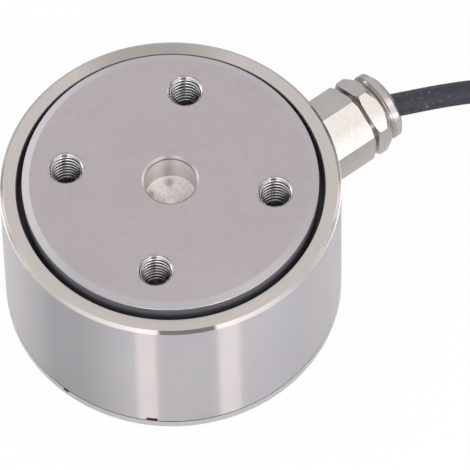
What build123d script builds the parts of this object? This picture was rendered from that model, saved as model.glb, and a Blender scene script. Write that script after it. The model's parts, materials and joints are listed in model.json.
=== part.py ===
from build123d import *
import os
from math import cos, degrees, pi, radians, sin, sqrt, tan

# Column load cell: a short steel column between a round load plate and a base,
# inside a turned steel housing, with a gland and a cable on its side.
# The origin is the middle of the underside, +Z is up and +X runs along the gland.
# All lengths are in millimetres and all angles in degrees.

os.makedirs("parts", exist_ok=True)

# Housing
housing_diameter = 60.0
housing_top = 33.3
housing_edge = 0.6
housing_break = 0.15
lip_wall = 2.9
seal_bore_depth = 5.6
sleeve_wall = 3.55

# Base, which is the foot of the column
rim_height = 2.2
rim_edge = 0.5
base_thickness = 9.0
spigot_gap = 0.05

# Seal ring round the base
ring_section = 1.5
ring_squeeze = 0.25
ring_round = 0.6
groove_width = 1.9
groove_height = 5.4

# Column between the base and the load plate
column_gap = 3.5
column_fillet = 2.5
flat_depth = 2.5
flat_margin = 1.6
flat_angles = (0.0, 90.0, 180.0, 270.0)

# Load plate on top of the column
plate_gap = 1.05
plate_rise = 2.0
plate_thickness = 14.0
plate_edge_width = 1.3
plate_edge_drop = 0.45
plate_land = 0.25
plate_foot_edge = 0.5

# Rubber seal in the gap between the load plate and the housing
seal_wall = 0.8
seal_foot = 1.2
seal_foot_gap = 0.1
seal_rim_round = 0.25

# Tapped holes, drawn at the outer diameter of their thread
thread_diameter = 6.0
tap_drill = 5.0
hole_margin = 6.75
hole_count = 4
hole_turn = 45.0
hole_mouth = 6.4
top_thread_depth = 9.5
top_drill_depth = 11.0
base_thread_depth = 6.0
base_drill_depth = 6.6
drill_point = 118.0

# Blind hole in the middle of the load plate
centre_diameter = 9.2
centre_depth = 6.25
centre_edge = 0.45

# Strain gauges on the flats of the column
gauge_height = 7.0
gauge_gap = 1.6
gauge_border = 1.58
gauge_film = 0.15
gauge_foil = 0.12
gauge_corner = 0.2
grid_border = 0.5
grid_short = 2.2
tab_size = 1.2
tab_border = 0.7
tab_inset = 1.1

# Terminal board round the foot of the column
board_margin = 5.45
board_width = 6.5
board_thickness = 1.2
spacer_height = 1.0
spacer_diameter = 4.0
board_screw = 2.0
board_screw_depth = 3.5
board_screw_reach = 3.15
board_screw_gap = 0.05
screw_head_diameter = 3.8
screw_head_height = 1.3
screw_slot_width = 0.5
screw_slot_length = 4.6
screw_slot_depth = 0.6
screw_angles = (90.0, 180.0, 270.0)
board_hole_gap = 0.1

# Resistors and terminal posts on the board
resistor_length = 2.0
resistor_width = 1.25
resistor_height = 0.55
resistor_angles = (130.0, 145.0, 215.0, 230.0)
compensator_length = 4.2
compensator_width = 2.4
compensator_height = 1.1
compensator_corner = 0.2
compensator_angle = 300.0
post_diameter = 1.0
post_height = 1.6
post_offset = 0.75
post_angles = (-22.0, -11.0, 0.0, 11.0, 22.0)

# Ribbon leads from the gauges to the board
ribbon_width = 0.6
ribbon_thickness = 0.2
ribbon_reach = 1.3
ribbon_bend = 0.8
ribbon_seat = 0.02

# Cable gland
gland_height = 14.25
gland_thread = 10.0
gland_thread_gap = 0.05
gland_reach = 2.45
spotface_diameter = 16.0
spotface_depth = 1.0
washer_thickness = 0.8
washer_diameter = 13.0
hex_across_corners = 14.97
hex_turn = 31.3
nut_turn = 30.3
body_length = 10.75
hex_edge = 0.35
hex_edge_angle = 30.0
body_bore = 5.2
pocket_bore = 8.6
pocket_wall = 3.2
body_thread_length = 4.45
nut_gap = 0.8
nut_hex_length = 1.8
nut_cone_length = 1.95
nut_neck_diameter = 11.7
nut_neck_length = 0.35
collar_diameter = 12.8
collar_length = 1.15
nut_face_length = 0.8
nut_face_diameter = 10.6
nut_hole = 7.1
nut_floor = 1.9
nut_hole_edge = 0.5
insert_length = 7.4
insert_gap = 0.05
thrust_bore = 6.8
thrust_gap = 0.05

# Cable
cable_diameter = 4.3
cable_reach = 1.5
core_diameter = 0.9
core_straight = 1.4
core_rise = 1.9
core_places = ((-1.35, 0.45), (-0.65, -0.85), (0.0, 0.9), (0.65, -0.85), (1.35, 0.45))

# Route of the free cable after its straight start in the gland, up to its coil: chosen by hand
cable_start_length = 4.4
cable_route_points = [
    (49.43, -1.25, 12.95),
    (57.75, -3.2, 10.2),
    (65.9, -5.6, 7.35),
    (74.5, -9.6, 4.3),
    (81.9, -14.2, 2.15),
    (87.4, -17.65, 2.15),
]
bend_share = 0.45

# Coil of the cable that is put away beside the cell, and the cable's tail on top of it
turn_pitch = 4.4
turn_columns = 4
turn_layers = 3
turn_middle = 25.7
coil_slack = 0.05
coil_round = 1.9
coil_lead_in = 18.0
tail_from = 45.0
tail_to = 180.0

# Bare leads at the cable's end, on top of the coil: the colours in the order of their places
lead_diameter = 1.1
lead_gap = 0.05
lead_lanes = (-3.8, -1.9, 0.0, 1.9, 3.8)
lead_colours = ("white", "green", "shield", "black", "red")
lead_starts = ((-1.25, 0.35), (-0.75, -0.95), (0.0, 0.9), (0.75, -0.95), (1.25, 0.35))
lead_lengths = (36.0, 39.0, 33.0, 38.0, 35.0)
lead_steps = ((0.0, 0.0, 0.0), (3.2, 0.0, 0.0), (9.0, 0.65, 0.55), (16.5, 0.95, 1.0),
              (24.0, 1.05, 1.0), (30.0, 1.1, 1.0))
lead_end = (1.15, 1.0)

# Sizes that follow from the ones above
housing_radius = housing_diameter / 2
seal_radius = housing_radius - lip_wall
cavity_radius = housing_radius - sleeve_wall
plate_radius = seal_radius - plate_gap
plate_top = housing_top + plate_rise
plate_foot = plate_top - plate_thickness
seal_shelf = housing_top - seal_bore_depth
seal_low = seal_shelf + seal_foot_gap
seal_seat_radius = plate_radius - seal_wall
seal_top = plate_top - plate_edge_drop - plate_land
board_outer_radius = cavity_radius - board_margin
board_inner_radius = board_outer_radius - board_width
board_middle_radius = board_inner_radius + board_width / 2
column_radius = board_inner_radius - column_gap
flat_distance = column_radius - flat_depth
flat_half = sqrt(column_radius**2 - flat_distance**2)
gauge_width = flat_half - gauge_border - gauge_gap / 2
gauge_offset = (gauge_gap + gauge_width) / 2
grid_long = gauge_width - 2 * grid_border
tab_spacing = gauge_width - 2 * tab_border - tab_size
spotface_place = housing_radius - spotface_depth
washer_end = spotface_place + washer_thickness
gland_inner_end = cavity_radius - gland_reach
cable_inner_end = gland_inner_end - cable_reach
pocket_start = washer_end + pocket_wall
insert_end = pocket_start + insert_length
body_end = washer_end + body_length
body_thread_end = body_end + body_thread_length
nut_start = body_end + nut_gap
nut_cone_start = nut_start + nut_hex_length
nut_cone_end = nut_cone_start + nut_cone_length
collar_end = nut_cone_end + nut_neck_length + collar_length
nut_end = collar_end + nut_face_length
nut_hole_start = nut_end - nut_floor
cable_radius = cable_diameter / 2
thread_radius = thread_diameter / 2
hole_circle_radius = seal_seat_radius - hole_margin
board_low = base_thickness + spacer_height
board_top = board_low + board_thickness
post_radius = board_middle_radius + post_offset
coil_low_radius = turn_middle - turn_pitch * (turn_columns - 1) / 2
coil_high_radius = turn_middle + turn_pitch * (turn_columns - 1) / 2
coil_top = turn_pitch * (turn_layers - 1) + cable_diameter
tail_height = cable_radius + turn_pitch * turn_layers
cable_route = [
    (insert_end, 0, gland_height),
    (insert_end + cable_start_length, 0, gland_height),
    *cable_route_points,
]


def drill_cone(radius):
    """Depth of the cone that a drill of this radius leaves."""
    return radius / tan(radians(drill_point / 2))


def corner_radii(points, share=bend_share):
    """Radius of each bend of a route: a share of its shorter run, over the tangent of half the turn."""
    radii = []
    for before, here, after in zip(points, points[1:], points[2:]):
        run_in = Vector(*here) - Vector(*before)
        run_out = Vector(*after) - Vector(*here)
        half_turn = radians(run_in.get_angle(run_out)) / 2
        radii.append(share * min(run_in.length, run_out.length) / tan(half_turn))
    return radii


def places_at(radius, angles):
    """Places at this distance from the column's axis, one at each angle and turned with it."""
    return [
        Location((radius * cos(radians(angle)), radius * sin(radians(angle)), 0), (0, 0, angle))
        for angle in angles
    ]


def face_plane(distance, height, angle=0.0):
    """The upright plane this far from the column's axis that faces out at this angle."""
    outward = Vector(cos(radians(angle)), sin(radians(angle)), 0)
    return Plane(
        origin=outward * distance + Vector(0, 0, height),
        x_dir=Vector(0, 0, 1).cross(outward),
        z_dir=outward,
    )


def save(builder, name):
    """Label a finished piece and write it to its own file."""
    builder.part.label = name
    export_step(builder.part, f"parts/{name}.step")


# Load column: base, column and load plate turned from one bar
with BuildPart() as load_column:
    spigot_radius = cavity_radius - spigot_gap
    groove_floor = cavity_radius - ring_section + ring_squeeze
    with BuildSketch(Plane.XZ) as spool:
        with BuildLine():
            Polyline(
                (0, 0),
                (housing_radius - rim_edge, 0),
                (housing_radius, rim_edge),
                (housing_radius, rim_height - housing_break),
                (housing_radius - housing_break, rim_height),
                (spigot_radius, rim_height),
                (spigot_radius, groove_height - groove_width / 2),
                (groove_floor, groove_height - groove_width / 2),
                (groove_floor, groove_height + groove_width / 2),
                (spigot_radius, groove_height + groove_width / 2),
                (spigot_radius, base_thickness),
                (column_radius + column_fillet, base_thickness),
            )
            RadiusArc(
                (column_radius + column_fillet, base_thickness),
                (column_radius, base_thickness + column_fillet),
                column_fillet,
            )
            Line(
                (column_radius, base_thickness + column_fillet),
                (column_radius, plate_foot - column_fillet),
            )
            RadiusArc(
                (column_radius, plate_foot - column_fillet),
                (column_radius + column_fillet, plate_foot),
                column_fillet,
            )
            Polyline(
                (column_radius + column_fillet, plate_foot),
                (plate_radius - plate_foot_edge, plate_foot),
                (plate_radius, plate_foot + plate_foot_edge),
                (plate_radius, seal_low),
                (seal_seat_radius, seal_low),
                (seal_seat_radius, seal_top),
                (plate_radius, seal_top),
                (plate_radius, plate_top - plate_edge_drop),
                (plate_radius - plate_edge_width, plate_top),
                (0, plate_top),
                (0, 0),
            )
        make_face()
    revolve(axis=Axis.Z)
    # Four milled flats carry the strain gauges
    flat_height = plate_foot - base_thickness - 2 * flat_margin
    with BuildSketch(Plane.XY.offset(base_thickness + flat_margin)):
        with Locations(*places_at(flat_distance + column_radius / 2, flat_angles)):
            Rectangle(column_radius, 2 * column_radius)
    extrude(amount=flat_height, mode=Mode.SUBTRACT)
    # Tapped holes in the load plate and in the base
    for hole_plane, drill_depth, tap_depth in (
        (Plane.XY.offset(plate_top), top_drill_depth, top_thread_depth),
        (Plane.XY.rotated((180, 0, 0)), base_drill_depth, base_thread_depth),
    ):
        drill_radius = tap_drill / 2
        with BuildSketch(Plane.XZ) as hole_profile:
            with BuildLine():
                Polyline(
                    (0, 0),
                    (hole_mouth / 2, 0),
                    (thread_radius, thread_radius - hole_mouth / 2),
                    (thread_radius, -tap_depth),
                    (drill_radius, -tap_depth - thread_radius + drill_radius),
                    (drill_radius, -drill_depth),
                    (0, -drill_depth - drill_cone(drill_radius)),
                    (0, 0),
                )
            make_face()
        cutter = revolve(hole_profile.sketch, axis=Axis.Z, mode=Mode.PRIVATE)
        with Locations(hole_plane):
            with PolarLocations(hole_circle_radius, hole_count, start_angle=hole_turn):
                add(cutter, mode=Mode.SUBTRACT)
    # Blind hole in the middle of the load plate
    centre_radius = centre_diameter / 2
    with BuildSketch(Plane.XZ) as centre_profile:
        with BuildLine():
            Polyline(
                (0, plate_top),
                (centre_radius + centre_edge, plate_top),
                (centre_radius, plate_top - centre_edge),
                (centre_radius, plate_top - centre_depth),
                (0, plate_top - centre_depth - drill_cone(centre_radius)),
                (0, plate_top),
            )
        make_face()
    revolve(axis=Axis.Z, mode=Mode.SUBTRACT)
    # Tapped holes for the screws of the terminal board
    with Locations(Plane.XY.offset(base_thickness)):
        with Locations(*places_at(board_middle_radius, screw_angles)):
            Hole(board_screw / 2 + board_screw_gap, depth=board_screw_depth)
save(load_column, "load_column")

# Housing: a turned sleeve over the column, with a spot face and a tapped hole for the gland
with BuildPart() as housing:
    with BuildSketch(Plane.XZ) as sleeve:
        with BuildLine():
            Polyline(
                (cavity_radius, rim_height),
                (housing_radius - housing_break, rim_height),
                (housing_radius, rim_height + housing_break),
                (housing_radius, housing_top - housing_edge),
                (housing_radius - housing_edge, housing_top),
                (seal_radius + housing_break, housing_top),
                (seal_radius, housing_top - housing_break),
                (seal_radius, seal_shelf),
                (cavity_radius, seal_shelf),
                (cavity_radius, rim_height),
            )
        make_face()
    revolve(axis=Axis.Z)
    gland_face = face_plane(spotface_place, gland_height)
    with BuildSketch(gland_face):
        Circle(spotface_diameter / 2)
    extrude(amount=spotface_diameter, mode=Mode.SUBTRACT)
    with BuildSketch(gland_face):
        Circle(gland_thread / 2 + gland_thread_gap)
    extrude(amount=gland_inner_end - spotface_place, mode=Mode.SUBTRACT)
save(housing, "housing")

# Seal ring in the groove round the base
with BuildPart() as base_seal:
    with BuildSketch(Plane.XZ):
        with Locations((cavity_radius - (ring_section - ring_squeeze) / 2, groove_height)):
            RectangleRounded(ring_section - ring_squeeze, ring_section, ring_round)
    revolve(axis=Axis.Z)
save(base_seal, "base_seal")

# Rubber seal: a sleeve on the side of the load plate, with a foot on the housing's shelf
with BuildPart() as gap_seal:
    with BuildSketch(Plane.XZ):
        with BuildLine():
            Polyline(
                (seal_seat_radius, seal_low),
                (seal_radius - seal_foot_gap, seal_low),
                (seal_radius - seal_foot_gap, seal_low + seal_foot),
                (plate_radius, seal_low + seal_foot),
                (plate_radius, seal_top - seal_rim_round),
                (plate_radius - seal_rim_round, seal_top),
                (seal_seat_radius, seal_top),
                (seal_seat_radius, seal_low),
            )
        make_face()
    revolve(axis=Axis.Z)
save(gap_seal, "gap_seal")

# Strain gauges: one along and one across the column on each flat
gauge_middle = (base_thickness + plate_foot) / 2
for flat, flat_angle in enumerate(flat_angles, start=1):
    gauge_plane = face_plane(flat_distance, gauge_middle, flat_angle)
    for kind, side, grid_size in (
        ("axial", -1, (grid_short, grid_long)),
        ("cross", 1, (grid_long, grid_short)),
    ):
        with BuildPart() as gauge:
            with BuildSketch(gauge_plane):
                with Locations((side * gauge_offset, 0)):
                    RectangleRounded(gauge_width, gauge_height, gauge_corner)
            extrude(amount=gauge_film)
            with BuildSketch(gauge_plane.offset(gauge_film)):
                with Locations((side * gauge_offset, tab_inset)):
                    Rectangle(*grid_size)
                with Locations((side * gauge_offset, tab_inset - gauge_height / 2)):
                    with GridLocations(tab_spacing, 1, 2, 1):
                        Rectangle(tab_size, tab_size)
            extrude(amount=gauge_foil)
        save(gauge, f"{kind}_gauge_{flat}")

# Terminal board on its spacers and screws
with BuildPart() as terminal_board:
    with BuildSketch(Plane.XY.offset(board_low)):
        Circle(board_outer_radius)
        Circle(board_inner_radius, mode=Mode.SUBTRACT)
        with Locations(*places_at(board_middle_radius, screw_angles)):
            Circle(board_screw / 2 + board_hole_gap, mode=Mode.SUBTRACT)
    extrude(amount=board_thickness)
save(terminal_board, "terminal_board")

with BuildPart() as board_spacers:
    with BuildSketch(Plane.XY.offset(base_thickness)):
        with Locations(*places_at(board_middle_radius, screw_angles)):
            Circle(spacer_diameter / 2)
            Circle(board_screw / 2 + board_hole_gap, mode=Mode.SUBTRACT)
    extrude(amount=spacer_height)
save(board_spacers, "board_spacers")

with BuildPart() as board_screws:
    with BuildSketch(Plane.XY.offset(board_top)):
        with Locations(*places_at(board_middle_radius, screw_angles)):
            Circle(screw_head_diameter / 2)
    extrude(amount=screw_head_height)
    with BuildSketch(Plane.XY.offset(board_top + screw_head_height - screw_slot_depth)):
        with Locations(*places_at(board_middle_radius, screw_angles)):
            Rectangle(screw_slot_length, screw_slot_width)
    extrude(amount=screw_head_height, mode=Mode.SUBTRACT)
    with BuildSketch(Plane.XY.offset(board_top)):
        with Locations(*places_at(board_middle_radius, screw_angles)):
            Circle(board_screw / 2)
    extrude(amount=-(board_thickness + spacer_height + board_screw_reach))
save(board_screws, "board_screws")

# Trimming resistors and the temperature compensator on the board
with BuildPart() as trim_resistors:
    with BuildSketch(Plane.XY.offset(board_top)):
        with Locations(*places_at(board_middle_radius, resistor_angles)):
            Rectangle(resistor_width, resistor_length)
    extrude(amount=resistor_height)
save(trim_resistors, "trim_resistors")

with BuildPart() as temperature_compensator:
    with BuildSketch(Plane.XY.offset(board_top)):
        with Locations(*places_at(board_middle_radius, (compensator_angle,))):
            RectangleRounded(compensator_width, compensator_length, compensator_corner)
    extrude(amount=compensator_height)
save(temperature_compensator, "temperature_compensator")

# Terminal posts for the cable's cores
with BuildPart() as terminal_posts:
    with BuildSketch(Plane.XY.offset(board_top)):
        with Locations(*places_at(post_radius, post_angles)):
            Circle(post_diameter / 2)
    extrude(amount=post_height)
save(terminal_posts, "terminal_posts")

# Ribbon leads from each gauge down to the board
tab_face = flat_distance + gauge_film + gauge_foil
ribbon_start = gauge_middle + tab_inset - gauge_height / 2
ribbon_end_radius = board_inner_radius + ribbon_reach
with BuildPart() as gauge_leads:
    for flat_angle in flat_angles:
        column_plane = face_plane(0, 0, flat_angle)
        for across in (-gauge_offset, gauge_offset):
            ribbon_route = [
                column_plane.from_local_coords((across, height, reach))
                for height, reach in (
                    (ribbon_start, tab_face + ribbon_seat),
                    (ribbon_start, ribbon_end_radius),
                    (board_top + ribbon_seat, ribbon_end_radius),
                )
            ]
            with BuildLine() as ribbon_path:
                FilletPolyline(*ribbon_route, radius=ribbon_bend)
            with BuildSketch(
                Plane(
                    origin=ribbon_path.line @ 0,
                    x_dir=column_plane.x_dir,
                    z_dir=ribbon_path.line % 0,
                )
            ):
                Rectangle(ribbon_width, ribbon_thickness)
            sweep(path=ribbon_path.line)
save(gauge_leads, "gauge_leads")

# Gland washer between the housing's spot face and the gland
with BuildPart() as gland_washer:
    with BuildSketch(gland_face):
        Circle(washer_diameter / 2)
        Circle(gland_thread / 2 + gland_thread_gap, mode=Mode.SUBTRACT)
    extrude(amount=washer_thickness)
save(gland_washer, "gland_washer")

gland_side = Plane(origin=(0, 0, gland_height), x_dir=(1, 0, 0), z_dir=(0, -1, 0))
gland_axis = Axis((0, 0, gland_height), (1, 0, 0))
hex_radius = hex_across_corners / 2
hex_edge_drop = hex_edge / tan(radians(hex_edge_angle))

# Gland body: hexagon with a thread on each end
with BuildPart() as gland_body:
    with BuildSketch(face_plane(washer_end, gland_height)):
        RegularPolygon(hex_radius, 6, rotation=hex_turn)
    extrude(amount=body_end - washer_end)
    with BuildSketch(gland_side):
        with BuildLine():
            Polyline(
                (washer_end, 0),
                (washer_end, hex_radius),
                (body_end - hex_edge, hex_radius),
                (body_end, hex_radius - hex_edge_drop),
                (body_end, 0),
                (washer_end, 0),
            )
        make_face()
    revolve(axis=gland_axis, mode=Mode.INTERSECT)
    with BuildSketch(gland_side):
        with BuildLine():
            Polyline(
                (gland_inner_end, 0),
                (gland_inner_end, gland_thread / 2 - hex_edge),
                (gland_inner_end + hex_edge, gland_thread / 2),
                (body_thread_end - hex_edge, gland_thread / 2),
                (body_thread_end, gland_thread / 2 - hex_edge),
                (body_thread_end, 0),
                (gland_inner_end, 0),
            )
        make_face()
    revolve(axis=gland_axis)
    with BuildSketch(gland_side):
        with BuildLine():
            Polyline(
                (gland_inner_end, 0),
                (gland_inner_end, body_bore / 2),
                (pocket_start, body_bore / 2),
                (pocket_start, pocket_bore / 2),
                (body_thread_end, pocket_bore / 2),
                (body_thread_end, 0),
                (gland_inner_end, 0),
            )
        make_face()
    revolve(axis=gland_axis, mode=Mode.SUBTRACT)
save(gland_body, "gland_body")

# Rubber insert that grips the cable, and the thrust ring that squeezes it
with BuildPart() as gland_insert:
    with BuildSketch(face_plane(pocket_start, gland_height)):
        Circle(pocket_bore / 2 - insert_gap)
        Circle(cable_radius, mode=Mode.SUBTRACT)
    extrude(amount=insert_end - pocket_start)
save(gland_insert, "gland_insert")

with BuildPart() as thrust_ring:
    with BuildSketch(face_plane(insert_end, gland_height)):
        Circle(pocket_bore / 2 - thrust_gap)
        Circle(thrust_bore / 2, mode=Mode.SUBTRACT)
    extrude(amount=nut_hole_start - insert_end)
save(thrust_ring, "thrust_ring")

# Gland nut: a hexagon with a cone, a neck and a round collar
with BuildPart() as gland_nut:
    with BuildSketch(face_plane(nut_start, gland_height)):
        RegularPolygon(hex_radius, 6, rotation=nut_turn)
    extrude(amount=nut_end - nut_start)
    with BuildSketch(gland_side):
        with BuildLine():
            Polyline(
                (nut_start, 0),
                (nut_start, hex_radius - hex_edge_drop),
                (nut_start + hex_edge, hex_radius),
                (nut_cone_start, hex_radius),
                (nut_cone_end, nut_neck_diameter / 2),
                (nut_cone_end + nut_neck_length, nut_neck_diameter / 2),
                (nut_cone_end + nut_neck_length, collar_diameter / 2),
                (collar_end, collar_diameter / 2),
                (nut_end, nut_face_diameter / 2),
                (nut_end, 0),
                (nut_start, 0),
            )
        make_face()
    revolve(axis=gland_axis, mode=Mode.INTERSECT)
    with BuildSketch(gland_side):
        with BuildLine():
            Polyline(
                (nut_start, 0),
                (nut_start, gland_thread / 2 + gland_thread_gap),
                (nut_hole_start, gland_thread / 2 + gland_thread_gap),
                (nut_hole_start, nut_hole / 2),
                (nut_end - nut_hole_edge, nut_hole / 2),
                (nut_end, nut_hole / 2 + nut_hole_edge),
                (nut_end, 0),
                (nut_start, 0),
            )
        make_face()
    revolve(axis=gland_axis, mode=Mode.SUBTRACT)
save(gland_nut, "gland_nut")

# Cable inside the gland, and its cores to the terminal posts
with BuildPart() as cable_inside:
    with BuildSketch(face_plane(cable_inner_end, gland_height)):
        Circle(cable_radius)
    extrude(amount=insert_end - cable_inner_end)
save(cable_inside, "cable_inside")

post_top = board_top + post_height
for colour, angle, (across, above) in zip(lead_colours, post_angles, core_places):
    post_x = post_radius * cos(radians(angle))
    post_y = post_radius * sin(radians(angle))
    core_route = [
        (cable_inner_end, across, gland_height + above),
        (cable_inner_end - core_straight, across, gland_height + above),
        (post_x, post_y, post_top + core_rise),
        (post_x, post_y, post_top),
    ]
    with BuildPart() as core:
        with BuildLine() as core_path:
            FilletPolyline(*core_route, radius=corner_radii(core_route))
        with BuildSketch(Plane(origin=core_path.line @ 0, z_dir=core_path.line % 0)):
            Circle(core_diameter / 2)
        sweep(path=core_path.line)
    save(core, f"core_{colour}")

# Free cable from the gland to the coil
route_radii = corner_radii(cable_route)
with BuildPart() as cable_tube:
    with BuildLine() as tube_path:
        FilletPolyline(*cable_route, radius=route_radii)
    with BuildSketch(Plane(origin=tube_path.line @ 0, z_dir=tube_path.line % 0)):
        Circle(cable_radius)
    sweep(path=tube_path.line)
save(cable_tube, "cable_tube")
tube_length = tube_path.wire().length
print("bend radii", [round(radius, 1) for radius in route_radii])
print("tube length", round(tube_length, 2), "volume over section times length",
      round(cable_tube.part.volume / (pi * cable_radius**2 * tube_length), 4))

# Coil: a ring of the turns' outer shape, with the straight lead in and the tail on top
last_point = Vector(*cable_route[-1])
lead_way = (last_point - Vector(*cable_route[-2])).normalized()
touch_point = last_point + lead_way * coil_lead_in
centre_way = Vector(0, 0, 1).cross(lead_way)
coil_centre = Vector(touch_point.X, touch_point.Y, 0) + centre_way * coil_high_radius
coil_axis = Axis(coil_centre, (0, 0, 1))


def coil_plane(turned):
    """The upright plane through the coil's axis, this far on round the turns from the lead in."""
    outward = (-centre_way).rotate(Axis.Z, turned)
    return Plane(origin=coil_centre, x_dir=outward, z_dir=outward.cross(Vector(0, 0, 1)))


with BuildPart() as cable_coil:
    ring_width = coil_high_radius - coil_low_radius + cable_diameter + 2 * coil_slack
    with BuildSketch(coil_plane(0)):
        with Locations((turn_middle, coil_top / 2)):
            RectangleRounded(ring_width, coil_top, coil_round)
    revolve(axis=coil_axis)
    with BuildSketch(Plane(origin=last_point, z_dir=lead_way)):
        Circle(cable_radius)
    extrude(amount=coil_lead_in)
    with BuildSketch(coil_plane(tail_from)):
        with Locations((turn_middle, tail_height)):
            Circle(cable_radius)
        with Locations((turn_middle, (tail_height + coil_top - cable_radius) / 2)):
            Rectangle(cable_diameter - 2 * coil_slack, tail_height - coil_top + cable_radius)
    revolve(axis=coil_axis, revolution_arc=tail_to - tail_from)
save(cable_coil, "cable_coil")

# Bare leads: they start in the tail's end, fan out and lie on the coil
lead_rest = coil_top + lead_diameter / 2 + lead_gap
for colour, start, lane, length in zip(lead_colours, lead_starts, lead_lanes, lead_lengths):
    start_across, start_above = start
    lead_route = []
    for along, spread, fall in (*lead_steps, (length, *lead_end)):
        across = turn_middle + start_across + (lane - start_across) * spread
        height = tail_height + start_above
        height += (lead_rest - height) * fall
        step_plane = coil_plane(tail_to + degrees(along / turn_middle))
        lead_route.append(tuple(step_plane.from_local_coords((across, height, 0))))
    with BuildPart() as lead:
        with BuildLine() as lead_path:
            FilletPolyline(*lead_route, radius=corner_radii(lead_route))
        with BuildSketch(Plane(origin=lead_path.line @ 0, z_dir=-coil_plane(tail_to).z_dir)):
            Circle(lead_diameter / 2)
        sweep(path=lead_path.line)
    save(lead, f"lead_{colour}")
    print(f"lead_{colour}", "length", round(lead_path.wire().length, 1),
          "radii", [round(radius, 1) for radius in corner_radii(lead_route)])
print("coil centre", tuple(round(value, 3) for value in coil_centre))
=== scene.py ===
"""Dresses a column load cell: turned steel, tapped holes, cable gland and a coiled signal cable."""
import json
from math import atan2, cos, degrees, pi, radians, sin, tan

import bmesh
import bpy
import numpy as np
from bpy.props import FloatProperty, FloatVectorProperty, IntProperty, PointerProperty
from mathutils import Matrix, Quaternion, Vector


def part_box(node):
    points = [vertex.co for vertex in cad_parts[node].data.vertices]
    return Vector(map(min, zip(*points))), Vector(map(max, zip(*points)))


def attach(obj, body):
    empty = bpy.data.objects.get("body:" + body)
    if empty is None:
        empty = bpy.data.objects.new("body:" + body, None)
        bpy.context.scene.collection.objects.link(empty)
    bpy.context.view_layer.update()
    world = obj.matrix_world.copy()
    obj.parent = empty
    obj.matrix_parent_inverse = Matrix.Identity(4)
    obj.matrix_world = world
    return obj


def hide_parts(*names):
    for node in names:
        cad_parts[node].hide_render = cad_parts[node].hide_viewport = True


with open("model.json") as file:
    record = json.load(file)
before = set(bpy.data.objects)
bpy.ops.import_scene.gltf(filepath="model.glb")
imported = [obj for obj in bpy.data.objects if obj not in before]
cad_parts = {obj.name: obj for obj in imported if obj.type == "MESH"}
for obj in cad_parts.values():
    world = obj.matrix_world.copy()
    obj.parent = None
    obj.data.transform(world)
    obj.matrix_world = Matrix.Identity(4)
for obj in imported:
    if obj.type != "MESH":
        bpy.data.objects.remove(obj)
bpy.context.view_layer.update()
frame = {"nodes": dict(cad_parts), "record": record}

bl_info = {
    "name": "Column Load Cell Finisher",
    "version": (1, 0, 0),
    "blender": (4, 5, 0),
    "location": "3D View > Sidebar > Load Cell",
    "description": "Gives a column load cell its metal finishes, threads, gland and cable",
    "category": "Object",
}

MM = 0.001

# Where the finishes change on the solids: distances from the column's axis, and heights
HOUSING_RADIUS = 30.0 * MM
SLOPE_START = 24.75 * MM
# Inside this radius the seal is made paler by painted light
SEAL_PAINTED_LIGHT = 27.2 * MM
SEAM_HEIGHT = 2.2 * MM
SEAM_GROOVE = 0.14 * MM
GLAND_HEIGHT = 14.25 * MM
# The housing's chamfer: height less distance from the axis at its lower end, and its width
CHAMFER_LINE = 2.7 * MM
CHAMFER_WIDTH = 0.56 * MM
# The centre hole, as far as its own finish goes
BORE_RADIUS = 4.66 * MM
BORE_DEPTH = 6.2 * MM
# The tapped holes: how far out in X and in Y, cone, the thread's start and depths, start of shade
HOLE_SPREAD = 13.08 * MM
CONE_RADIUS = 3.3 * MM
THREAD_START = 0.2 * MM
PLATE_THREAD = 9.5 * MM
BASE_THREAD = 6.0 * MM
SHADE_HEIGHT = 31.8 * MM
# Directions round the column's axis in degrees from the gland, where light and shade are painted:
# the back, the left and both sides
BACK = 59.7
LEFT = 134.7
SIDES = (-43.3, 152.7)
# How far the flanks of grooves that are too fine to see look up, in the bore and on the housing
BORE_TILT = radians(48.0)
GROOVE_TILT = radians(33.0)
# How far down from the front the gland's side with painted light looks
UNDER_TILT = radians(30.0)

# Nicks in the housing's lower edge, darkened as painted shade: middle and half width in degrees,
# lower and upper end in mm
NICKS = ((-166.3, 1.1, 1.4, 2.3), (-134.2, 1.9, 2.2, 3.1))
# Stains on the floor of the centre hole: place in mm, radius in mm, depth of tone
BORE_STAINS = ((1.72, 2.71, 1.2, 0.9), (-1.94, 2.72, 1.1, 0.85))

# Most of a noise's values lie in the first range, and nearly all of them in the second
MIDDLE = (0.35, 0.65)
WIDE = (0.3, 0.7)

DIRT_AND_SHADE = (0.025, 0.024, 0.026)
STAIN = (0.16, 0.14, 0.13)
WHITE = (1.0, 1.0, 1.0)
BASE_RIM = (0.84, 0.83, 0.825)
BORE_STEEL = (0.82, 0.77, 0.74)
HOUSING_TOP = (0.61, 0.56, 0.525)
EDGE_STEEL = (0.66, 0.65, 0.66)
THREAD_STEEL = (0.97, 0.95, 0.94)
TINNED = (0.72, 0.71, 0.68)
LEAD_COLOURS = {
    "white": (0.78, 0.78, 0.75),
    "green": (0.02, 0.26, 0.07),
    "shield": (0.6, 0.6, 0.58),
    "black": (0.02, 0.02, 0.022),
    "red": (0.55, 0.025, 0.02),
}

# Route of the free cable up to its coil, in millimetres: every point is given
CABLE_ROUTE = [
    (40.4, 0.0, 14.25),
    (44.8, 0.0, 14.25),
    (49.43, -1.25, 12.95),
    (57.75, -3.2, 10.2),
    (65.9, -5.6, 7.35),
    (74.5, -9.6, 4.3),
    (81.9, -14.2, 2.15),
    (87.4, -17.65, 2.15),
]
# Coil in millimetres and degrees: straight start, then layers of turns that each move over once
COIL_LEAD_IN = 18.0
COIL_LAYERS = 3
LAYER_TURNS = 4
TURN_PITCH = 4.4
TURN_MIDDLE = 25.7
OUTER_TURN = TURN_MIDDLE + 1.5 * TURN_PITCH
COIL_MOVE = 75.0
TAIL_MOVE = 60.0
TAIL_FROM = 45.0
TAIL_TO = 180.0
COIL_STEP = 15.0

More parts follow.
